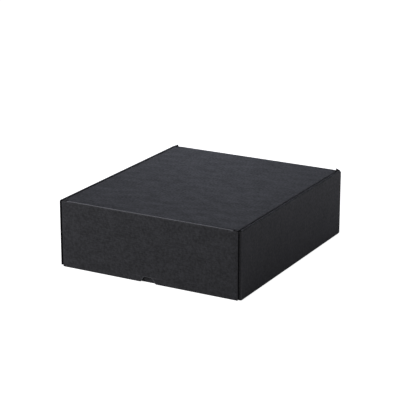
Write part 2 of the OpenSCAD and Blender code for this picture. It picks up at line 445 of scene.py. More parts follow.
@dataclass
class BoardPiece:
    """A panel or a crease: three papers cut to one shape and put in one place."""

    name: str
    board: Board
    cut: Cut
    spot: FlatPlace | BendPlace
    low: float
    high: float
    bend: Optional[Callable[[Array, Array], Array]] = None
    # paling along a crease: worn dye, and painted light on the front fold and the front corners
    wear: float = 0.0
    skin: Skin = Skin.PANEL

    def rows(self, per_flute: int) -> Array:
        """Rows across the flutes: even steps of the wave, and the outline's own rows.

        Args:
            per_flute: how many steps one flute is divided into.

        Returns:
            The rows in order; the even ones stay a third of a step clear of the others.
        """
        step = self.board.pitch / per_flute
        count = max(2, round((self.high - self.low) / self.board.pitch * per_flute))
        even = np.linspace(self.low, self.high, count + 1)
        own = np.array(sorted({*self.cut.breaks, self.low, self.high}))
        own = own[np.concatenate([[True], np.diff(own) > JUMP / 2])]
        clear = np.abs(even[:, None] - own).min(1) > step / 3
        return np.sort(np.concatenate([even[clear], own]))

    def depths(self, paper: Paper, across: Array, free: Array, bent: Array) -> tuple[Array, Array]:
        """How deep a paper's two faces lie below the board's outer face.

        The liners sag between the flute tips by telegraph * (1 - cos phase) / 2, and the
        outer one more on a crease, by dent times that.  The medium's middle lies at half
        the thickness - wave * cos phase, with a lower wave on a crease.  Towards a free
        edge the board is crushed: each liner moves inwards by crush * free.

        Args:
            paper: which of the three papers.
            across: positions across the flutes.
            free: (1 - d / reach)^2 at the distance d from a free edge.
            bent: the crease value, from 0 on a flat panel to 1.

        Returns:
            The depths of the outer and of the inner face.
        """
        board = self.board
        swing = np.cos(2 * math.pi * across / board.pitch)
        crushed = board.crush * free
        if paper is Paper.OUTER:
            dent = bent * board.crease_dent * board.telegraph * (1 - swing) / 2
            top = board.telegraph * (1 - swing) / 2 + dent + crushed
            return top, top + board.liner
        if paper is Paper.INNER:
            bottom = board.thickness - board.telegraph * (1 + swing) / 2 - crushed
            return bottom - board.liner, bottom
        room = board.wave - crushed * board.medium_crush - board.medium_gap
        middle = board.thickness / 2 - room * (1 - board.crease_press * bent) * swing
        return middle - board.medium / 2, middle + board.medium / 2

    def ply(self, paper: Paper) -> Ply:
        """Builds one paper.

        The edge value is (1 - d / crush reach)^2 at the distance d from a free edge, or
        notch highlight strength * (1 - d / notch highlight reach) from a highlighted one,
        whichever is more: wear of the free edges, and a painted highlight along the notch's rim.

        Args:
            paper: which of the three papers.

        Returns:
            The paper's mesh data.
        """
        board = self.board
        rows = self.rows(board.medium_rows if paper is Paper.MEDIUM else board.liner_rows)
        middles = (rows[:-1] + rows[1:]) / 2
        lines = stacked(self.cut.strips(rows)[0], rows)
        kept = stacked(self.cut.strips(middles)[1], middles)
        across = np.broadcast_to(rows, lines.shape)
        flat = np.stack([lines.ravel(), across.ravel()], axis=1)
        free = np.clip(1 - edge_distance(flat, self.cut.edges) / board.crush_reach, 0, 1) ** 2
        # a pale strip along the notch's edges: painted highlight
        highlighted = np.clip(1 - edge_distance(flat, self.cut.highlighted) / board.notch_highlight_reach, 0, 1)
        wear_and_highlight = np.maximum(free, board.notch_highlight_strength * highlighted)
        bent = self.bend(lines, across) if self.bend else np.zeros(lines.shape)
        faces = self.depths(paper, across, free.reshape(lines.shape), bent)
        points = np.concatenate([self.spot.place(lines, across, d).reshape(-1, 3) for d in faces])
        quads, kinds = sheet_faces(kept)
        shown = 1 if paper is Paper.INNER else 0
        slots = np.where(kinds == shown, paper.value, Paper.MEDIUM.value)
        used, numbers = np.unique(quads, return_inverse=True)
        points, quads = points[used], numbers.reshape(quads.shape)
        if signed_volume(points, quads) < 0:
            quads = quads[:, ::-1]
        place = used % len(flat)
        # the crease value, weighted by the paling: worn dye, and painted light on the front fold and the
        # front corners
        return Ply(points, quads, flat[place], wear_and_highlight[place], self.wear * bent.ravel()[place], slots)

    def build(self, finishes: "Finishes") -> bpy.types.Object:
        """Joins the three papers into one object, and gives it its finishes.

        Args:
            finishes: the papers' materials.

        Returns:
            The object.
        """
        plies = [self.ply(paper) for paper in Paper]

        def joined(part: str) -> Array:
            """One array for the three papers from theirs."""
            return np.concatenate([getattr(ply, part) for ply in plies])

        points = joined("points")
        starts = np.cumsum([0] + [len(ply.points) for ply in plies[:-1]])
        quads = np.concatenate([ply.quads + start for ply, start in zip(plies, starts)])
        mesh = bpy.data.meshes.new(self.name)
        mesh.vertices.add(len(points))
        mesh.vertices.foreach_set("co", points.astype(np.float32).ravel())
        mesh.loops.add(quads.size)
        mesh.loops.foreach_set("vertex_index", quads.ravel().astype(np.int32))
        mesh.polygons.add(len(quads))
        mesh.polygons.foreach_set("loop_start", np.arange(0, quads.size, 4, dtype=np.int32))
        mesh.polygons.foreach_set("material_index", joined("slots").astype(np.int32))
        mesh.update(calc_edges=True)
        uv = mesh.uv_layers.new(name="board")
        uv.data.foreach_set("uv", joined("flat")[quads.ravel()].astype(np.float32).ravel())
        for name in ("edge", "crease"):
            layer = mesh.attributes.new(name, "FLOAT", "POINT")
            layer.data.foreach_set("value", joined(name).astype(np.float32))
        for material in finishes.papers(self.skin):
            mesh.materials.append(material)
        mesh.shade_smooth()
        mesh.set_sharp_from_angle(angle=math.radians(SHARP_ANGLE))
        return add_object(self.name, mesh)


# ----------------------------------------------------------------- materials


class Shading:
    """Small helper that adds nodes to a tree and links them."""

    def __init__(self, tree: bpy.types.NodeTree) -> None:
        """Keeps the tree that the nodes go into."""
        self.tree = tree

    @classmethod
    def of(cls, owner: bpy.types.ID) -> "Shading":
        """Empties the node tree of a material or a world.

        Args:
            owner: the material or the world.

        Returns:
            A helper for its tree.
        """
        owner.use_nodes = True
        owner.node_tree.nodes.clear()
        return cls(owner.node_tree)

    def add(self, kind: str, inputs: Optional[dict] = None, **settings: object) -> bpy.types.Node:
        """Adds a node.

        Args:
            kind: the node's type.
            inputs: value or output socket for each named or numbered input.
            **settings: properties of the node.

        Returns:
            The new node.
        """
        node = self.tree.nodes.new(kind)
        for key, value in settings.items():
            setattr(node, key, value)
        for key, value in (inputs or {}).items():
            if isinstance(value, Socket):
                self.tree.links.new(value, node.inputs[key])
            else:
                node.inputs[key].default_value = value
        return node

    def math(self, operation: str, a: object, b: object = 0.0, clamp: bool = False) -> Socket:
        """Adds a Math node and returns its output."""
        return self.add("ShaderNodeMath", {0: a, 1: b}, operation=operation, use_clamp=clamp).outputs[0]

    def total(self, *terms: tuple[Socket, float]) -> Socket:
        """Multiplies each value by its weight, and returns the sum."""
        parts = [self.math("MULTIPLY", value, weight) for value, weight in terms]
        return reduce(lambda total, part: self.math("ADD", total, part), parts)

    def spread(self, value: Socket, low: float, high: float, to_low: float = 0.0,
               to_high: float = 1.0) -> Socket:
        """Adds a Map Range node and returns its output."""
        return self.add("ShaderNodeMapRange", {0: value, 1: low, 2: high, 3: to_low, 4: to_high}).outputs[0]

    def noise(self, vector: Socket, scale: object, detail: float, roughness: float = 0.5) -> Socket:
        """Adds a Noise node and returns its value."""
        inputs = {"Vector": vector, "Scale": scale, "Detail": detail, "Roughness": roughness}
        return self.add("ShaderNodeTexNoise", inputs).outputs[0]

    def stretch(self, vector: Socket, scale: Point) -> Socket:
        """Adds a Mapping node that scales a vector, and returns its output."""
        return self.add("ShaderNodeMapping", {"Vector": vector, "Scale": scale}).outputs[0]

    def mix(self, share: Socket, a: object, b: object) -> Socket:
        """Mixes two colours by a share, and returns the result."""
        a, b = ((*colour, 1) if isinstance(colour, tuple) else colour for colour in (a, b))
        return self.add("ShaderNodeMix", {0: share, 6: a, 7: b}, data_type="RGBA").outputs[2]

    def seen(self, light: Socket, camera: Socket) -> Socket:
        """Mixes two shaders, the second of which is there for the camera alone."""
        camera_ray = self.add("ShaderNodeLightPath").outputs["Is Camera Ray"]
        return self.add("ShaderNodeMixShader", {0: camera_ray, 1: light, 2: camera}).outputs[0]


def new_group(name: str, vectors: Sequence[str], values: dict[str, float],
              masks: Sequence[str]) -> tuple[Shading, bpy.types.NodeOutputs]:
    """Makes an empty node group.

    Args:
        name: the group's name.
        vectors: names of the inputs that take vectors.
        values: name and default of each input that takes a single value.
        masks: names of the outputs, all single values.

    Returns:
        The group's Shading helper and the sockets that give its inputs.
    """
    tree = bpy.data.node_groups.new(name, "ShaderNodeTree")
    for label in vectors:
        tree.interface.new_socket(name=label, in_out="INPUT", socket_type="NodeSocketVector")
    for label, default in values.items():
        socket = tree.interface.new_socket(name=label, in_out="INPUT", socket_type="NodeSocketFloat")
        socket.default_value = default
    for label in masks:
        tree.interface.new_socket(name=label, in_out="OUTPUT", socket_type="NodeSocketFloat")
    shading = Shading(tree)
    return shading, shading.add("NodeGroupInput").outputs


def paper_grain_group() -> bpy.types.NodeTree:
    """Mottle and fibres of dyed kraft paper.

    Mask is the blotchy depth of the dye: noise at the mottle's size, a broader cloud and
    the fibres, added and spread to 0..1.  Height is the surface: the cockle of the
    liner at about the mottle's size, and short fibres drawn out along X.

    Returns:
        The group.
    """
    cloud_scale, cockle_scale, fibre_stretch = 55.0, 0.83, (0.3, 1.0, 1.0)
    mottle_share, cloud_share, fibre_share, darkest, palest = 0.74, 0.13, 0.13, 0.36, 0.64
    fibre_height, cockle_height = 0.06, 0.94
    s, given = new_group("PaperGrain", ["Vector"], {"Mottle Scale": 300.0, "Fibre Scale": 1500.0},
                         ["Mask", "Height"])
    vector, mottle_scale = given["Vector"], given["Mottle Scale"]
    mottle = s.noise(vector, mottle_scale, 2.0)
    cloud = s.noise(vector, cloud_scale, 1.0)
    fibre = s.noise(s.stretch(vector, fibre_stretch), given["Fibre Scale"], 2.0, 0.6)
    cockle = s.noise(vector, s.math("MULTIPLY", mottle_scale, cockle_scale), 1.0)
    mixed = s.total((mottle, mottle_share), (cloud, cloud_share), (fibre, fibre_share))
    height = s.total((fibre, fibre_height), (cockle, cockle_height))
    s.add("NodeGroupOutput", {"Mask": s.spread(mixed, darkest, palest), "Height": height})
    return s.tree


def flute_lines_group() -> bpy.types.NodeTree:
    """Flutes that show through a liner.

    Mask is noise drawn out along the flutes, a few flutes wide, plus a faint cosine of
    the flutes' pitch.

    Returns:
        The group.
    """
    streak_scale, wave_share, darkest, palest = (35.0, 70.0, 1.0), 0.05, 0.33, 0.67
    s, given = new_group("FluteLines", ["Board"], {"Pitch": Board.pitch}, ["Mask"])
    across = s.add("ShaderNodeSeparateXYZ", {0: given["Board"]}).outputs[1]
    turns = s.math("DIVIDE", across, given["Pitch"])
    wave = s.math("COSINE", s.math("MULTIPLY", turns, 2 * math.pi))
    streak = s.noise(s.stretch(given["Board"], streak_scale), 1.0, 0.0)
    mixed = s.total((wave, wave_share), (streak, 1.0))
    s.add("NodeGroupOutput", {"Mask": s.spread(mixed, darkest, palest)})
    return s.tree


def wear_and_painted_light_group() -> bpy.types.NodeTree:
    """Wear of the dye, and painted light.

    Mask is the edge and crease values raised to powers, so that it is strongest where
    they near one, times their amounts, and broken by a gritty noise. On the front fold it
    paints a highlight along with the wear, on the front corner creases painted light, and
    on the notch's rim a painted highlight.

    Returns:
        The group.
    """
    grit_scale, grit_low, grit_high, least, crease_power, edge_power = 700.0, 0.3, 0.7, 0.35, 7.0, 3.0
    s, given = new_group("WearAndPaintedLight", ["Vector"], {"Edge": 0.0, "Crease": 0.0, "Edge Amount": 0.12,
                                               "Crease Amount": 0.0}, ["Mask"])
    rough = s.spread(s.noise(given["Vector"], grit_scale, 3.0, 0.7), grit_low, grit_high, least)
    crease = s.math("MULTIPLY", s.math("POWER", given["Crease"], crease_power), given["Crease Amount"])
    edge = s.math("MULTIPLY", s.math("POWER", given["Edge"], edge_power), given["Edge Amount"])
    s.add("NodeGroupOutput", {"Mask": s.math("MULTIPLY", s.math("ADD", crease, edge), rough, clamp=True)})
    return s.tree


@dataclass(frozen=True)
class PaperFinish:
    """A dyed paper: its two depths of dye, its wear and painted light, and its surface."""

    name: str
    deep: Point
    pale: Point
    roughness: tuple[float, float]
    # pale colour of worn dye, and of painted light on creases and the notch's rim
    wear_and_light_colour: Point = (0.50, 0.505, 0.545)
    specular: float = 0.35
    mottle_scale: float = 300.0
    fibre_scale: float = 1500.0
    lines: float = 0.15
    relief: float = 0.12 * MM
    ridges: float = 1.5
    # how much edges and creases are paled: wear, and painted light
    edge_wear: float = 0.12
    crease_wear: float = 0.0

    def material(self, groups: dict[str, bpy.types.NodeTree], pitch: float) -> bpy.types.Material:
        """Builds the material.

        Args:
            groups: the shared node groups by name.
            pitch: the flutes' pitch.

        Returns:
            The material.
        """
        material = bpy.data.materials.new(self.name)
        s = Shading.of(material)
        place = s.add("ShaderNodeTexCoord").outputs["Object"]
        board = s.add("ShaderNodeUVMap", uv_map="board").outputs[0]
        edge, crease = (s.add("ShaderNodeAttribute", attribute_name=name).outputs["Fac"]
                        for name in ("edge", "crease"))
        grain = s.add("ShaderNodeGroup", node_tree=groups["PaperGrain"], inputs={
            "Vector": place, "Mottle Scale": self.mottle_scale, "Fibre Scale": self.fibre_scale}).outputs
        lines = s.add("ShaderNodeGroup", node_tree=groups["FluteLines"], inputs={
            "Board": board, "Pitch": pitch}).outputs["Mask"]
        wear_and_painted_light = s.add("ShaderNodeGroup", node_tree=groups["WearAndPaintedLight"], inputs={
            "Vector": place, "Edge": edge, "Crease": crease, "Edge Amount": self.edge_wear,
            "Crease Amount": self.crease_wear}).outputs["Mask"]
        tone = s.total((grain["Mask"], 1 - self.lines), (lines, self.lines))
        height = s.total((grain["Height"], 1.0), (lines, self.ridges))
        bump = s.add("ShaderNodeBump", {"Strength": 1.0, "Distance": self.relief, "Height": height})
        # the dye is paled by wear and by painted light
        shader = s.add("ShaderNodeBsdfPrincipled", {
            "Base Color": s.mix(wear_and_painted_light, s.mix(tone, self.deep, self.pale), self.wear_and_light_colour),
            "Roughness": s.spread(tone, 0.0, 1.0, *self.roughness),
            "Specular IOR Level": self.specular,
            "Normal": bump.outputs[0]})
        s.add("ShaderNodeOutputMaterial", {0: shader.outputs[0]})
        return material


class Finishes:
    """The papers of the box, each built once."""

    OUTER = {
        # the outer liner's crease paling paints the front fold's highlight and lightens the front corners
        Skin.PANEL: PaperFinish(
            "outer_liner", deep=(0.0165, 0.0168, 0.0185), pale=(0.0435, 0.0444, 0.0488),
            roughness=(0.68, 0.54), lines=0.22, crease_wear=1.2),
        # the rolls' darker copy of the outer liner, with darker paling: painted shade of the strip beside
        # the lid
        Skin.ROLLED: PaperFinish(
            "outer_liner_rolled", deep=(0.0150, 0.0153, 0.0168), pale=(0.0400, 0.0408, 0.0449),
            roughness=(0.70, 0.58), wear_and_light_colour=(0.20, 0.205, 0.22), specular=0.26, edge_wear=0.10),
        Skin.PRESSED: PaperFinish(
            "outer_liner_pressed", deep=(0.0200, 0.0204, 0.0224), pale=(0.0395, 0.0403, 0.0443),
            roughness=(0.66, 0.56), mottle_scale=260.0, ridges=0.6),
    }
    MEDIUM = PaperFinish(
        "fluted_medium", deep=(0.024, 0.024, 0.025), pale=(0.048, 0.048, 0.050),
        roughness=(0.75, 0.9), wear_and_light_colour=(0.08, 0.08, 0.08), specular=0.15, lines=0.0, edge_wear=0.1)
    INNER = PaperFinish(
        "inner_liner", deep=(0.019, 0.019, 0.020), pale=(0.036, 0.036, 0.038),
        roughness=(0.6, 0.72), wear_and_light_colour=(0.12, 0.12, 0.125), specular=0.3, lines=0.3, crease_wear=0.6)

    def __init__(self, board: Board) -> None:
        """Builds the shared node groups and the materials.

        Args:
            board: the board's make-up.
        """
        groups = {g.name: g for g in (paper_grain_group(), flute_lines_group(), wear_and_painted_light_group())}
        self.outer = {skin: finish.material(groups, board.pitch) for skin, finish in self.OUTER.items()}
        self.medium = self.MEDIUM.material(groups, board.pitch)
        self.inner = self.INNER.material(groups, board.pitch)

    def papers(self, skin: Skin) -> tuple[bpy.types.Material, ...]:
        """The materials in the order of Paper."""
        return self.outer[skin], self.medium, self.inner


# --------------------------------------------------------------- sub-assemblies


@dataclass(frozen=True)
class Pressing:
    """How a crease is pressed.

    Args:
        squareness: how far its corner is drawn out, 2 for a round one.
        wear: how far it is paled along it, 0 to 1: cracked dye, and painted light on the front fold and the
            front corners.
        lean: power that moves the crease value's peak towards the bend's start.
        skin: state of its outer paper.
    """

    squareness: float = 2.0
    wear: float = 0.0
    lean: float = 1.0
    skin: Skin = Skin.PANEL


class SubAssembly:
    """What the parts of the box share: the board, the finishes, and how pieces are put in."""

    STEPS_ROUND = {1: 10, 2: 17}  # mesh steps round a crease, by its number of turns
    STEPS_ALONG = 40  # mesh steps along a crease with flutes along it

    def __init__(self, board: Board, finishes: Finishes) -> None:
        """Keeps the board's make-up and the finishes."""
        self.board = board
        self.finishes = finishes

    def put(self, piece: BoardPiece, node: str, body: Optional[str],
            blend: Optional[Blend] = None) -> None:
        """Builds a piece, ties it to its body or between two bodies, and reports it.

        Args:
            piece: the piece.
            node: the CAD node that it stands for.
            body: the body that it rides on.
            blend: the bend between two bodies that it follows instead.
        """
        obj = piece.build(self.finishes)
        if blend is not None:
            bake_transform(obj)
        else:
            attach(obj, body)
        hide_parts(node)
        log.info("%s: %d faces, for %s", obj.name, len(obj.data.polygons), node)

    def panel(self, name: str, node: str, axes: tuple[Axis, Axis, Axis], facing: int, cut: Cut,
              slot: str = "outer_liner", body: str = "tray", skin: Skin = Skin.PANEL,
              trim: float = 0.0) -> None:
        """Builds a flat panel over its CAD node's box, and puts it in.

        Args:
            name: the piece's name.
            node: the CAD node that it stands for.
            axes: the axes along its flutes, across them and out of its face.
            facing: the sign of the way that its outer face looks.
            cut: its outline.
            slot: not used.
            body: the body that it rides on.
            skin: state of its outer paper.
            trim: how far its mesh stops short of the box, across the flutes.
        """
        low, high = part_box(node)
        across, out = axes[1].value, axes[2].value
        spot = FlatPlace(axes, facing, high[out] if facing > 0 else low[out])
        piece = BoardPiece(name, self.board, cut, spot, low[across], high[across] - trim, skin=skin)
        self.put(piece, node, body)

    def crease(self, name: str, node: str, axis: Axis, turns: Sequence[Turn],
               pressing: Pressing = Pressing(), body: Optional[str] = "tray",
               blend: Optional[Blend] = None) -> None:
        """Builds a crease along its CAD node's box, and puts it in.

        The crease value is sin(pi * way^lean), with the way round from 0 to 1: it is 0 at
        both ends and 1 in the middle, or nearer to the start where the lean is below 1.

        Args:
            name: the piece's name.
            node: the CAD node that it stands for.
            axis: the axis that it lies along.
            turns: its quarter turns.
            pressing: how it is pressed.
            body: the body that it rides on.
            blend: the bend between two bodies that it follows instead.
        """
        low, high = (end[axis.value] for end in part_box(node))
        spot = BendPlace(axis, turns, self.board.fold_radius, pressing.squareness)
        length = spot.length
        way = np.linspace(0, length, self.STEPS_ROUND[len(turns)] + 1)
        ends = np.array([[(0, low), (length, low)], [(0, high), (length, high)]])
        if spot.flutes_go_round:
            cut, reach = Cut((), straight(way), ends), (low, high)
        else:
            stations = np.linspace(low, high, self.STEPS_ALONG + 1)
            cut, reach = Cut(way, straight(stations), ends[..., ::-1]), (0, length)

        def bend(along: Array, across: Array) -> Array:
            """The crease value by the way round."""
            return np.sin(math.pi * ((along if spot.flutes_go_round else across) / length) ** pressing.lean)

        piece = BoardPiece(name, self.board, cut, spot, *reach, bend, pressing.wear, pressing.skin)
        self.put(piece, node, body, blend)


@dataclass(frozen=True)
class FrontFlapSizes:
    """Sizes of the front flap's outline, and the pressing of its fold."""

    fold_gap: float = 0.3 * MM
    shoulder_radius: float = 1.5 * MM
    corner_radius: float = 1 * MM
    mesh_line: float = 70 * MM  # a line of the mesh between the notch and the slit
    notch_width: float = 25 * MM
    notch_top_width: float = 13.5 * MM
    notch_height: float = 8.5 * MM
    notch_radius: float = 3 * MM
    notch_lip_radius: float = 1.5 * MM
    notch_strip: float = 0.35 * MM
    # the fold is paled to paint its highlight, with cracked dye; the lean moves that highlight towards the
    # lid
    fold: Pressing = Pressing(3.6, wear=1.0, lean=0.42)


class FrontFlap(SubAssembly):
    """The flap that hangs outside the front wall, with its thumb notch."""

    sizes = FrontFlapSizes()

    def notch_half_width(self, up: Array) -> Array:
        """Half the notch's width at heights above the flap's lower edge.

        A straight slanted side, whose foot turns out to the lower edge by a small arc
        and whose head turns in to the notch's top by a larger one.

        Args:
            up: heights above the lower edge.

        Returns:
            The half widths.
        """
        s = self.sizes
        run = (s.notch_width - s.notch_top_width) / 2
        side = math.hypot(run, s.notch_height)
        straight_side = s.notch_width / 2 - run * up / s.notch_height
        lip_x = s.notch_width / 2 + s.notch_lip_radius * (side - run) / s.notch_height
        lip_top = s.notch_lip_radius * (1 - run / side)
        foot = lip_x - np.sqrt(np.maximum(s.notch_lip_radius**2 - (s.notch_lip_radius - up) ** 2, 0))
        head_z = s.notch_height - s.notch_radius
        head_x = s.notch_width / 2 - run * head_z / s.notch_height - s.notch_radius * side / s.notch_height
        head = head_x + np.sqrt(np.maximum(s.notch_radius**2 - (up - head_z) ** 2, 0))
        head_start = head_z + s.notch_radius * run / side
        return np.where(up < lip_top, foot, np.where(up > head_start, head, straight_side))

    def build(self) -> None:
        """Builds the flap, riding on its own body, and the fold that bends to the lid."""
        s, board = self.sizes, self.board
        low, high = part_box("front_flap")
        fold_low, fold_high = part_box("front_flap_fold")
        fold_x, fold_z = fold_high.x, fold_low.z
        slit_x = fold_x + s.fold_gap
        notch_top = low.z + s.notch_height
        reaches = (0, s.notch_strip, board.crush_reach, board.notch_highlight_reach)

        def edge(rows: Array) -> Array:
            """The flap's right edge, round at both corners."""
            drawn = corner(rows, low.z, s.corner_radius, 1) + corner(rows, high.z, s.shoulder_radius, -1)
            return high.x - drawn

        def right_half(rows: Array) -> Strips:
            """From the notch's side to the edge; the shoulder alone stands above the fold."""
            notch = self.notch_half_width(np.minimum(rows - low.z, s.notch_height))
            below = rows < fold_z
            lines = [notch + reach for reach in reaches]
            lines += [s.mesh_line, slit_x, edge(rows) - board.edge_strip, edge(rows)]
            return lines, [between(rows, notch_top, fold_z), *[below] * 5, True, True]

        up = np.concatenate([arc_rows(0, s.notch_lip_radius, 1, 4),
                             arc_rows(s.notch_height, s.notch_radius, -1)])
        notch_side = np.stack([self.notch_half_width(up), low.z + up], axis=1)
        notch_head = np.array([[0, notch_top], [notch_side[-1, 0], notch_top]])
        side_rows = np.concatenate([arc_rows(low.z, s.corner_radius, 1),
                                    arc_rows(high.z, s.shoulder_radius, -1)])
        outside = np.concatenate([notch_side[:1], traced(edge, side_rows),
                                  [[slit_x, high.z], [slit_x, fold_z], [fold_x, fold_z]]])
        # the notch's edges carry a painted highlight strip
        highlighted = both([notch_side, notch_head])
        breaks = [*side_rows, *(low.z + up), fold_z, notch_top, notch_top + board.notch_highlight_reach]
        self.panel("front_flap_board", "front_flap", (X, Z, Y), -1,
                   Cut(breaks, mirrored(right_half), both([outside]) + highlighted, highlighted), body="flap_front")
        y, z = fold_low.y + board.fold_radius, fold_high.z - board.fold_radius
        self.crease("front_flap_crease", "front_flap_fold", X, [Turn(y, z, 90, 180)], s.fold,
                    blend=("lid", "flap_front", Vector((0, y, fold_high.z)), Vector((0, fold_low.y, z))))


@dataclass(frozen=True)
class LidSizes:
    """Sizes of the lid's outline, and the pressings of its folds."""

    end_gap: float = 0.3 * MM
    front_radius: float = 1.5 * MM
    back_radius: float = 3 * MM
    back_gap: float = 7 * MM
    relief_width: float = 2.5 * MM
    relief_length: float = 3.5 * MM
    relief_run_in: float = 60 * MM  # from a line of the mesh to the relief cut
    side_flap_taper: float = 10 * MM
    side_flap_nip: float = 5 * MM
    side_flap_least: float = 0.15 * MM  # what the slanted ends leave at the fold
    hinge: Pressing = Pressing(3.0, wear=0.5)
    side_fold: Pressing = Pressing(2.6)


class Lid(SubAssembly):
    """The lid panel, its hinge fold, and its two side flaps with their folds."""

    sizes = LidSizes()

    def build(self) -> None:
        """Builds the panel, the hinge's crease and both sides."""
        self.top()
        self.hinge()
        for side in Side:
            self.side_flap(side)

    def top(self) -> None:
        """Builds the lid panel: relief cuts in front, and plain edges where the creases stop."""
        s, strip = self.sizes, self.board.edge_strip
        low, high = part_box("lid_panel")
        hinge_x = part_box("lid_hinge_fold")[1].x
        fold_low, fold_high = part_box("lid_side_fold_right")
        crease_x, start, end = fold_low.x, fold_low.y - s.end_gap, fold_high.y + s.end_gap
        slit_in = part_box("front_flap_fold")[1].x
        slit_out, slit_y = slit_in + s.relief_width, low.y + s.relief_length
        back_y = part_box("back_wall")[1].y - s.back_gap

        def edge(rows: Array) -> Array:
            """The lid's right edge, round at its front corner and beside the hinge."""
            drawn = corner(rows, low.y, s.front_radius, 1) + corner(rows, back_y, s.back_radius, -1)
            return high.x - np.where(rows > back_y + JUMP / 2, 0, drawn)

        def right_half(rows: Array) -> Strips:
            """Past the relief cut to the side's crease, and beyond it in front and behind."""
            shelf = np.where(rows > back_y + JUMP / 2, hinge_x, np.minimum(crease_x, edge(rows) - strip))
            lines = [slit_in - s.relief_run_in, slit_in - strip, slit_in, slit_out, shelf, edge(rows)]
            tongue = between(rows, low.y, start) | between(rows, end, back_y)
            return lines, [True, True, True, rows > slit_y, True, tongue]

        front_rows, back_rows = arc_rows(low.y, s.front_radius, 1), arc_rows(back_y, s.back_radius, -1)
        slit = [[slit_in, low.y], [slit_in, slit_y], [slit_out, slit_y], [slit_out, low.y]]
        edges = both([
            np.concatenate([slit, traced(edge, front_rows), [[high.x, start], [crease_x, start]]]),
            np.concatenate([[[crease_x, end], [high.x, end]], traced(edge, back_rows),
                            [[hinge_x, back_y], [hinge_x, high.y]]]),
        ])
        breaks = [*front_rows, *back_rows, slit_y, start, end, back_y, back_y + JUMP]
        self.panel("lid_board", "lid_panel", (X, Y, Z), 1, Cut(breaks, mirrored(right_half), edges),
                   body="lid")

    def hinge(self) -> None:
        """Builds the crease between the back wall and the lid."""
        low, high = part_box("lid_hinge_fold")
        radius = self.board.fold_radius
        self.crease("lid_hinge_crease", "lid_hinge_fold", X,
                    [Turn(high.y - radius, high.z - radius, 0, 90)], self.sizes.hinge,
                    blend=("tray", "lid", Vector((0, high.y, low.z)), Vector((0, low.y, high.z))))

    def side_flap(self, side: Side) -> None:
        """Builds one side flap and the crease that it hangs from.

        Args:
            side: the side that it is on.
        """
        s, strip = self.sizes, self.board.edge_strip
        node, fold, body = (f"{part}_{side.label}" for part in ("lid_side_flap", "lid_side_fold", "flap"))
        low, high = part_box(node)
        taper, nip = s.side_flap_taper, s.side_flap_nip
        at_y = np.array([low.y, low.y + taper, low.y + taper + nip,
                         high.y - taper - nip, high.y - taper, high.y])
        at_z = np.array([high.z, low.z + nip, low.z, low.z, low.z + nip, high.z])

        def strips(rows: Array) -> Strips:
            """From the flap's lower edge up to its fold."""
            bottom = np.minimum(np.interp(rows, at_y, at_z), high.z - s.side_flap_least)
            step = np.minimum(strip, (high.z - bottom) / 2)
            return [bottom, bottom + step, high.z], [True, True]

        cut = Cut(at_y, strips, [np.stack([at_z, at_y], axis=1)])
        self.panel(f"lid_side_flap_board_{side.label}", node, (Z, Y, X), side.value, cut,
                   "inner_liner", body)
        low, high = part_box(fold)
        inner, outer = side.inner(low.x, high.x), side.outer(low.x, high.x)
        self.crease(f"lid_side_crease_{side.label}", fold, Y,
                    [Turn(inner, low.z, 90, 90 - 90 * side.value)], s.side_fold,
                    blend=("lid", body, Vector((inner, 0, high.z)), Vector((outer, 0, low.z))))


@dataclass(frozen=True)
class TraySizes:
    """Sizes of the tray's outlines, and the pressings of its rolls and corner folds."""

    end_gap: float = 0.3 * MM
    slot_width: float = 1.8 * MM
    slot_length: float = 32.6 * MM
    slot_run_in: float = 60 * MM  # from a line of the mesh to the slots
    tab_position: float = 95 * MM
    tab_length: float = 32 * MM
    side_corner_radius: float = 3.5 * MM
    inner_corner_cut: float = 9 * MM
    flap_taper: float = 17.5 * MM
    ear_nose: float = 0.5 * MM
    ear_middle: float = 0.4  # share of the ear's width at its middle line
    ear_trim: float = 0.03 * MM
    back_run_in: float = 70 * MM  # from a line of the mesh to the hinge's end
    # the rolls take the darker finish: painted shade
    roll: Pressing = Pressing(skin=Skin.ROLLED)
    # the front corner creases are paled: painted light in the shaded gap beside the flap
    front_corner: Pressing = Pressing(wear=0.85, lean=0.4)
    back_corner: Pressing = Pressing(lean=0.4)


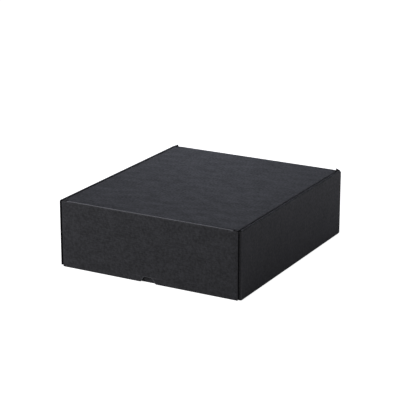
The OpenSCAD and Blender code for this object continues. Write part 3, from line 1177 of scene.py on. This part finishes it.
class Tray(SubAssembly):
    """The tray: base, walls, rolled sides, trapped corner flaps and all their creases."""

    sizes = TraySizes()

    def build(self) -> None:
        """Builds every piece of the tray."""
        self.base()
        self.front_wall()
        self.back_wall()
        for side in Side:
            self.side_wall(side)
            self.roll(side)
            self.inner_wall(side)
            self.base_fold(side, Y, X)
            for end in End:
                self.corner_flap(side, end)
                self.corner_fold(side, end)
        for end in End:
            self.base_fold(end, X, Y)

    def base(self) -> None:
        """Builds the base panel with its four lock slots."""
        s, strip = self.sizes, self.board.edge_strip
        outer_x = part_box("base_panel")[1].x
        wall_low, wall_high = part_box("inner_wall_right")
        slot_x = (wall_low.x + wall_high.x) / 2
        x0, x1 = slot_x - s.slot_width / 2, slot_x + s.slot_width / 2
        near, far = s.tab_position - s.slot_length / 2, s.tab_position + s.slot_length / 2

        def right_half(rows: Array) -> Strips:
            """Past the slots to the side."""
            lines = [x0 - s.slot_run_in, x0 - strip, x0, x1, x1 + strip, outer_x]
            return lines, [True, True, True, ~between(np.abs(rows), near, far), True, True]

        ring = np.array([[x0, near], [x1, near], [x1, far], [x0, far], [x0, near]])
        cut = Cut([-far, -near, near, far], mirrored(right_half), both([ring, ring * (1, -1)]))
        self.panel("base_board", "base_panel", (X, Y, Z), -1, cut, "inner_liner")

    def front_wall(self) -> None:
        """Builds the front wall, whose top is a plain cut edge."""
        low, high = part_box("front_wall")
        top = np.array([[low.x, high.z], [high.x, high.z]])
        cut = Cut([high.z - self.board.edge_row], straight([low.x, low.x / 2, high.x / 2, high.x]), [top])
        self.panel("front_wall_board", "front_wall", (X, Z, Y), -1, cut, "inner_liner")

    def back_wall(self) -> None:
        """Builds the back wall with the two ears that stand beside the hinge."""
        s = self.sizes
        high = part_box("back_wall")[1]
        hinge_low, hinge_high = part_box("lid_hinge_fold")
        wall_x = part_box("base_fold_back")[1].x
        top_z, lid_z, hinge_x = hinge_low.z, hinge_high.z, hinge_high.x
        ear_in, ear_out = hinge_x + s.end_gap, high.x
        slit_z, nose = top_z - 2 * s.end_gap, s.ear_nose
        out_z = np.array([top_z, lid_z - nose, lid_z, high.z - nose / 2, high.z])
        out_x = np.array([ear_out, ear_out, ear_out - nose, ear_in + 3 * nose, ear_in + nose])
        in_z = np.array([slit_z, high.z - nose, high.z])
        in_x = np.array([ear_in, ear_in, ear_in + nose])

        def right_half(rows: Array) -> Strips:
            """From the middle past the slit beside the hinge to the ear's outer edge."""
            outer = np.where(rows > top_z + JUMP / 2, np.interp(rows, out_z, out_x), wall_x)
            ear = np.interp(rows, in_z, in_x)
            lines = [hinge_x - s.back_run_in, hinge_x, ear, ear + s.ear_middle * (outer - ear), outer]
            return lines, [rows < top_z, rows < top_z, rows < slit_z, True, True]

        ear_edge = np.concatenate([
            [[hinge_x, top_z], [hinge_x, slit_z], [ear_in, slit_z]],
            np.stack([in_x, in_z], axis=1)[1:], np.stack([out_x, out_z], axis=1)[::-1],
            [[wall_x, top_z]],
        ])
        breaks = [slit_z, top_z, top_z + JUMP, lid_z - nose, lid_z, high.z - nose, high.z - nose / 2]
        self.panel("back_wall_board", "back_wall", (X, Z, Y), 1,
                   Cut(breaks, mirrored(right_half), both([ear_edge])), trim=s.ear_trim)

    def side_wall(self, side: Side) -> None:
        """Builds one outer side wall, with the round horn at its upper front corner.

        Args:
            side: the side that it is on.
        """
        s, row = self.sizes, self.board.edge_row
        node = f"side_wall_{side.label}"
        low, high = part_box(node)
        roll_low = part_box(f"side_roll_{side.label}")[0]
        top_z, horn_end = roll_low.z, roll_low.y - s.end_gap
        fold_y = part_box("base_fold_right")[0].y

        def horn(rows: Array) -> Array:
            """The horn's top, round in front."""
            return high.z - corner(rows, low.y, s.side_corner_radius, 1)

        def strips(rows: Array) -> Strips:
            """From the base's fold up to the roll, and the horn in front of the roll."""
            shelf = np.minimum(top_z, horn(rows) - self.board.edge_strip)
            lines = [low.z, np.minimum((low.z + top_z) / 2, shelf), shelf, horn(rows)]
            return lines, [True, True, rows < horn_end]

        arc = arc_rows(low.y, s.side_corner_radius, 1)
        front = np.concatenate([[[low.z, fold_y], [low.z, low.y]], traced(horn, arc),
                                [[high.z, horn_end], [top_z, horn_end]]])
        back = np.array([[low.z, high.y], [top_z, high.y]])
        cut = Cut([*arc, horn_end, low.y + row, high.y - row], strips, [front, back])
        self.panel(f"side_wall_board_{side.label}", node, (Z, Y, X), side.value, cut, skin=Skin.PRESSED)

    def roll(self, side: Side) -> None:
        """Builds the rolled top of one side wall: two creases with a narrow strip between.

        Args:
            side: the side that it is on.
        """
        node = f"side_roll_{side.label}"
        low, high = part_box(node)
        quarter, inwards = 90 * side.value, side.value * self.board.fold_radius
        turns = [Turn(side.outer(low.x, high.x) - inwards, low.z, 90 - quarter, 90),
                 Turn(side.inner(low.x, high.x) + inwards, low.z, 90, 90 + quarter)]
        self.crease(f"side_roll_crease_{side.label}", node, Y, turns, self.sizes.roll)

    def inner_wall(self, side: Side) -> None:
        """Builds one inner side wall, with its cut corners and its two lock tabs.

        Args:
            side: the side that it is on.
        """
        s, strip, cut = self.sizes, self.board.edge_strip, self.sizes.inner_corner_cut
        node = f"inner_wall_{side.label}"
        low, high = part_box(node)
        base_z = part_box("base_panel")[1].z
        top_cut = max(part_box(f"side_roll_{side.label}")[0].y - low.y, 0) + s.end_gap
        near, far = s.tab_position - s.tab_length / 2, s.tab_position + s.tab_length / 2
        foot_y = np.array([low.y, low.y + cut / 2, high.y - cut / 2, high.y])
        foot_z = np.array([base_z + cut, base_z, base_z, base_z + cut])
        head_y = np.array([low.y, low.y + top_cut, high.y])
        head_z = np.array([high.z - top_cut, high.z, high.z])

        def strips(rows: Array) -> Strips:
            """The tabs, and the wall from its foot up to the roll."""
            foot = np.interp(rows, foot_y, foot_z)
            lines = [low.z, foot, foot + strip, np.interp(rows, head_y, head_z)]
            return lines, [between(np.abs(rows), near, far), True, True]

        edge = np.array([
            [high.z, low.y + top_cut], [high.z - top_cut, low.y], [base_z + cut, low.y],
            [base_z, low.y + cut / 2], [base_z, -far], [low.z, -far], [low.z, -near],
            [base_z, -near], [base_z, near], [low.z, near], [low.z, far], [base_z, far],
            [base_z, high.y - cut / 2], [base_z + cut, high.y], [high.z, high.y]])
        breaks = [*foot_y, *head_y, -far, -near, near, far]
        self.panel(f"inner_wall_board_{side.label}", node, (Z, Y, X), -side.value,
                   Cut(breaks, strips, [edge]), "inner_liner")

    def corner_flap(self, side: Side, end: End) -> None:
        """Builds one corner flap, trapped between the two layers of a side wall.

        Args:
            side: the side that it is on.
            end: the end that it is at.
        """
        strip, taper, out = self.board.edge_strip, self.sizes.flap_taper, -end.value
        name = f"{end.label}_{side.label}"
        low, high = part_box(f"corner_flap_{name}")
        root, tip = end.outer(low.y, high.y), end.inner(low.y, high.y)
        at_z = np.array([low.z, low.z + taper, high.z - taper / 2, high.z])
        at_y = np.array([tip - out * taper, tip, tip, tip - out * taper / 2])

        def strips(rows: Array) -> Strips:
            """From the flap's fold to its free edge."""
            free = np.interp(rows, at_z, at_y)
            return [root, free - out * strip, free], [True, True]

        edge = np.concatenate([[[root, low.z]], np.stack([at_y, at_z], axis=1), [[root, high.z]]])
        self.panel(f"corner_flap_board_{name}", f"corner_flap_{name}", (Y, Z, X), side.value,
                   Cut(at_z, strips, [edge]))

    def base_fold(self, way: Way, axis: Axis, out: Axis) -> None:
        """Builds the crease between the base and one of its four walls.

        Args:
            way: the way from the base to the wall.
            axis: the axis that the crease lies along.
            out: the axis of the way.
        """
        name = f"base_fold_{way.label}"
        low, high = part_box(name)
        turn = Turn(way.inner(low[out.value], high[out.value]), high.z, 270, 270 + 90 * way.value)
        self.crease(f"{name}_crease", name, axis, [turn])

    def corner_fold(self, side: Side, end: End) -> None:
        """Builds the upright crease between an end wall and its corner flap.

        Args:
            side: the side that it is on.
            end: the end that it is at.
        """
        name = f"corner_fold_{end.label}_{side.label}"
        low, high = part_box(name)
        start = 90 * end.value
        turn = Turn(side.inner(low.x, high.x), end.inner(low.y, high.y), start,
                    start - 90 * side.value * end.value)
        pressing = self.sizes.front_corner if end is End.FRONT else self.sizes.back_corner
        self.crease(f"{name}_crease", name, Z, [turn], pressing)


# -------------------------------------------------------------------- studio


@dataclass(frozen=True)
class Lamp:
    """A soft box: where it stands, its size, its power, its colour and what it points at."""

    name: str
    place: Point
    size: tuple[float, float]
    watts: float
    colour: Point
    aim: Point = (0, 0, 0.05)


@dataclass(frozen=True)
class Studio:
    """Pale floor, soft light and the camera."""

    azimuth: float = 28.923
    elevation: float = 17.696
    distance: float = 2.37
    aim: Point = (-0.00988, 0.00401, 0.07618)
    lens: float = 140.44
    sensor: float = 36.0
    floor_size: float = 8.0
    floor_drop: float = 0.2 * MM
    floor_white: float = 0.9
    floor_glow: float = 0.95
    ambient: float = 0.04
    lamps: tuple[Lamp, ...] = (
        Lamp("key", (-1.3, -1.5, 1.3), (1.2, 1.2), 32.5, (0.995, 0.985, 1.03)),
        Lamp("back", (-0.1, 0.9, 0.45), (0.8, 0.3), 0.79, (0.915, 0.955, 1.13)),
        Lamp("right", (1.6, 1.9, 0.5), (1.0, 0.6), 13.2, (0.98, 0.972, 1.055)),
        Lamp("rim", (-0.8, 1.1, 0.35), (0.6, 0.3), 1.07, (0.915, 0.955, 1.13)),
    )

    def build(self) -> None:
        """Builds the floor, the lights, the world and the camera."""
        self.floor()
        self.world()
        for lamp in self.lamps:
            self.light(lamp)
        self.camera()
        view = bpy.context.scene.view_settings
        view.view_transform = "Standard"
        view.look = "None"
        view.exposure = 0.0
        view.gamma = 1.0

    def floor(self) -> None:
        """Makes a pale floor that reads as white where the camera sees it."""
        half, down = self.floor_size / 2, -self.floor_drop
        mesh = bpy.data.meshes.new("floor")
        corners = [(-half, -half, down), (half, -half, down), (half, half, down), (-half, half, down)]
        mesh.from_pydata(corners, [], [(0, 1, 2, 3)])
        floor = add_object("floor", mesh)
        material = bpy.data.materials.new("floor_white")
        s = Shading.of(material)
        diffuse = s.add("ShaderNodeBsdfDiffuse", {"Color": (*[self.floor_white] * 3, 1)}).outputs[0]
        glow = s.add("ShaderNodeEmission", {"Color": (1, 1, 1, 1), "Strength": self.floor_glow}).outputs[0]
        lit = s.add("ShaderNodeAddShader", {0: diffuse, 1: glow}).outputs[0]
        s.add("ShaderNodeOutputMaterial", {0: s.seen(diffuse, lit)})
        mesh.materials.append(material)

    def world(self) -> None:
        """Makes a white backdrop for the camera and a dimmer ambient light."""
        world = bpy.data.worlds.new("studio")
        bpy.context.scene.world = world
        s = Shading.of(world)
        ambient, backdrop = (
            s.add("ShaderNodeBackground", {"Color": (1, 1, 1, 1), "Strength": strength}).outputs[0]
            for strength in (self.ambient, 1.0))
        s.add("ShaderNodeOutputWorld", {0: s.seen(ambient, backdrop)})

    def light(self, lamp: Lamp) -> None:
        """Makes one soft box.

        Args:
            lamp: its place, size and light.
        """
        data = bpy.data.lights.new(lamp.name, "AREA")
        data.shape = "RECTANGLE"
        data.size, data.size_y = lamp.size
        data.energy = lamp.watts
        data.color = lamp.colour
        obj = add_object(lamp.name, data)
        obj.location = lamp.place
        to = Vector(lamp.aim) - Vector(lamp.place)
        obj.rotation_euler = to.to_track_quat("-Z", "Y").to_euler()
        obj.visible_camera = False

    def camera(self) -> None:
        """Makes the camera at the photograph's viewing angle."""
        az, el = math.radians(self.azimuth), math.radians(self.elevation)
        back = Vector((math.sin(az) * math.cos(el), -math.cos(az) * math.cos(el), math.sin(el)))
        data = bpy.data.cameras.new("camera")
        data.lens = self.lens
        data.sensor_width = self.sensor
        camera = add_object("camera", data)
        camera.location = Vector(self.aim) + back * self.distance
        camera.rotation_euler = (-back).to_track_quat("-Z", "Y").to_euler()
        bpy.context.scene.camera = camera


def main() -> None:
    """Builds the box round its frame, then the studio."""
    logging.basicConfig(level=logging.INFO, format="%(name)s: %(message)s")
    board = Board()
    finishes = Finishes(board)
    for part in (Tray, Lid, FrontFlap):
        part(board, finishes).build()
    Studio().build()


if __name__ == "__main__":
    main()
